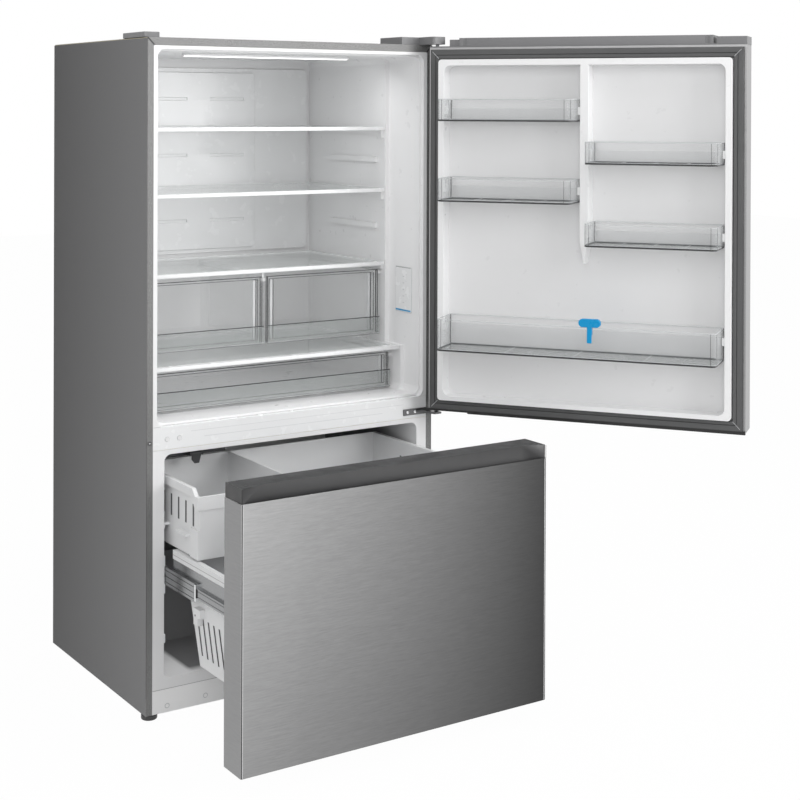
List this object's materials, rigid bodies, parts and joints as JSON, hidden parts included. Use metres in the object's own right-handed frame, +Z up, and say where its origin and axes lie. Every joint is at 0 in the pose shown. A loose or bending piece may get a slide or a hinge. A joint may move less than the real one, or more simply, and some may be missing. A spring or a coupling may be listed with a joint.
{
  "type": "bottom freezer refrigerator",
  "caption": "Bottom freezer refrigerator with brushed steel fronts, a swinging upper door with clear bins, glass shelves, clear crisper drawers and a pull-out freezer drawer with baskets.",
  "frame": {"origin": "middle of the object's bounding box on the floor, with the door and the freezer drawer open", "axes": "+Z up, the cabinet faces -Y, +X is the hinge side of the door"},
  "size_m": [1.3552, 1.362, 1.6923],
  "materials": {
    "brushed_steel_front": "horizontal brushed",
    "case_paint": "fine textured dark grey",
    "flange_paint": "satin silver grey",
    "white_plastic": "satin",
    "foam": "closed-cell foam",
    "clear_plastic": "clear gloss",
    "glass": "clear",
    "dark_plastic": "satin",
    "grey_plastic": "satin",
    "gasket_rubber": "matt",
    "black_paint": "satin black",
    "zinc_plate": "bright zinc",
    "aluminium": "mill",
    "blue_plastic": "gloss",
    "lamp_cover": "opal",
    "black_plastic": "satin"
  },
  "bodies": {
    "cabinet": {"outer_case": "case_paint", "rear_panel": "case_paint", "machine_cover": "case_paint", "kick_plate": "flange_paint", "cabinet_insulation": "foam", "fridge_liner": "white_plastic", "freezer_liner": "white_plastic", "mullion_rail": "white_plastic", "base_frame": "zinc_plate", "compressor": "black_paint", "condenser": "zinc_plate", "evaporator": "aluminium", "evaporator_cover": "white_plastic", "air_duct": "white_plastic", "ceiling_light": "lamp_cover", "control_panel": "white_plastic", "upper_shelf_frame": "white_plastic", "upper_shelf_glass": "glass", "middle_shelf_frame": "white_plastic", "middle_shelf_glass": "glass", "crisper_cover": "glass", "deli_cover": "glass", "top_hinge": "zinc_plate", "top_hinge_cover": "grey_plastic", "left_top_cover": "grey_plastic", "middle_hinge": "zinc_plate", "ice_maker": "grey_plastic", "left_outer_slide": "zinc_plate", "right_outer_slide": "zinc_plate"},
    "door": {"door_skin": "brushed_steel_front", "door_insulation": "foam", "door_liner": "white_plastic", "door_gasket": "gasket_rubber", "door_top_cap": "grey_plastic"},
    "freezer_drawer": {"drawer_skin": "brushed_steel_front", "drawer_inner_panel": "white_plastic", "drawer_gasket": "gasket_rubber", "drawer_handle": "dark_plastic", "lower_basket": "white_plastic", "left_inner_slide": "zinc_plate", "right_inner_slide": "zinc_plate"},
    "slide_middles": {"left_middle_slide": "zinc_plate", "right_middle_slide": "zinc_plate"},
    "upper_basket": {"upper_basket": "white_plastic"},
    "left_crisper": {"left_crisper": "clear_plastic"},
    "right_crisper": {"right_crisper": "clear_plastic"},
    "deli_drawer": {"deli_drawer": "clear_plastic"},
    "spice_bin": {"spice_bin": "clear_plastic"},
    "jar_bin": {"jar_bin": "clear_plastic"},
    "bottle_bin": {"bottle_bin": "clear_plastic"},
    "can_bin": {"can_bin": "clear_plastic"},
    "gallon_bin": {"gallon_bin": "clear_plastic"},
    "bottle_clip": {"bottle_clip": "blue_plastic"},
    "ice_level_arm": {"ice_level_arm": "dark_plastic"},
    "left_front_foot": {"left_front_foot": "black_plastic"},
    "right_front_foot": {"right_front_foot": "black_plastic"},
    "left_rear_roller": {"left_rear_roller": "black_plastic"},
    "right_rear_roller": {"right_rear_roller": "black_plastic"},
    "condenser_fan": {"condenser_fan": "grey_plastic"},
    "evaporator_fan": {"evaporator_fan": "grey_plastic"}
  },
  "joints": [
    {"name": "door_hinge", "type": "hinge", "parent": "cabinet", "child": "door", "pos_m": [0.15043, 0.01597, 0], "axis": [0, 0, 1], "range_deg": [-126, 9]},
    {"name": "freezer_drawer_slide", "type": "slide", "parent": "cabinet", "child": "freezer_drawer", "axis": [0, -1, 0], "range_m": [-0.408, 0.022]},
    {"name": "slide_middles_slide", "type": "slide", "parent": "cabinet", "child": "slide_middles", "axis": [0, -1, 0], "range_m": [-0.204, 0.011]},
    {"name": "upper_basket_slide", "type": "slide", "parent": "cabinet", "child": "upper_basket", "axis": [0, -1, 0], "range_m": [-0.172, 0.0093]},
    {"name": "left_crisper_slide", "type": "slide", "parent": "cabinet", "child": "left_crisper", "axis": [0, -1, 0], "range_m": [0, 0.24]},
    {"name": "right_crisper_slide", "type": "slide", "parent": "cabinet", "child": "right_crisper", "axis": [0, -1, 0], "range_m": [0, 0.24]},
    {"name": "deli_drawer_slide", "type": "slide", "parent": "cabinet", "child": "deli_drawer", "axis": [0, -1, 0], "range_m": [0, 0.22]},
    {"name": "spice_bin_lift", "type": "slide", "parent": "door", "child": "spice_bin", "axis": [0, 0, 1], "range_m": [0, 0.022]},
    {"name": "jar_bin_lift", "type": "slide", "parent": "door", "child": "jar_bin", "axis": [0, 0, 1], "range_m": [0, 0.022]},
    {"name": "bottle_bin_lift", "type": "slide", "parent": "door", "child": "bottle_bin", "axis": [0, 0, 1], "range_m": [0, 0.022]},
    {"name": "can_bin_lift", "type": "slide", "parent": "door", "child": "can_bin", "axis": [0, 0, 1], "range_m": [0, 0.022]},
    {"name": "gallon_bin_lift", "type": "slide", "parent": "door", "child": "gallon_bin", "axis": [0, 0, 1], "range_m": [0, 0.022]},
    {"name": "bottle_clip_slide", "type": "slide", "parent": "gallon_bin", "child": "bottle_clip", "axis": [-0.5878, 0.809, 0], "range_m": [-0.27, 0.36]},
    {"name": "ice_level_arm_hinge", "type": "hinge", "parent": "cabinet", "child": "ice_level_arm", "pos_m": [-0.48657, 0.17797, 0.614], "axis": [1, 0, 0], "range_deg": [-60, 20]},
    {"name": "left_front_foot_turn", "type": "hinge", "parent": "cabinet", "child": "left_front_foot", "pos_m": [-0.65657, 0.08397, 0], "axis": [0, 0, 1], "continuous": true},
    {"name": "right_front_foot_turn", "type": "hinge", "parent": "cabinet", "child": "right_front_foot", "pos_m": [0.14143, 0.08397, 0], "axis": [0, 0, 1], "continuous": true},
    {"name": "left_rear_roller_spin", "type": "hinge", "parent": "cabinet", "child": "left_rear_roller", "pos_m": [-0.62757, 0.61798, 0.017], "axis": [1, 0, 0], "continuous": true},
    {"name": "right_rear_roller_spin", "type": "hinge", "parent": "cabinet", "child": "right_rear_roller", "pos_m": [0.11243, 0.61798, 0.017], "axis": [1, 0, 0], "continuous": true},
    {"name": "condenser_fan_spin", "type": "hinge", "parent": "cabinet", "child": "condenser_fan", "pos_m": [-0.48757, 0.59798, 0.0913], "axis": [0, 1, 0], "continuous": true},
    {"name": "evaporator_fan_spin", "type": "hinge", "parent": "cabinet", "child": "evaporator_fan", "pos_m": [-0.25757, 0.56198, 0.5985], "axis": [0, 1, 0], "continuous": true}
  ],
  "couplings": [
    {"joint": "slide_middles_slide", "follows": "freezer_drawer_slide", "ratio": 0.5},
    {"joint": "upper_basket_slide", "follows": "freezer_drawer_slide", "ratio": 0.4215}
  ]
}
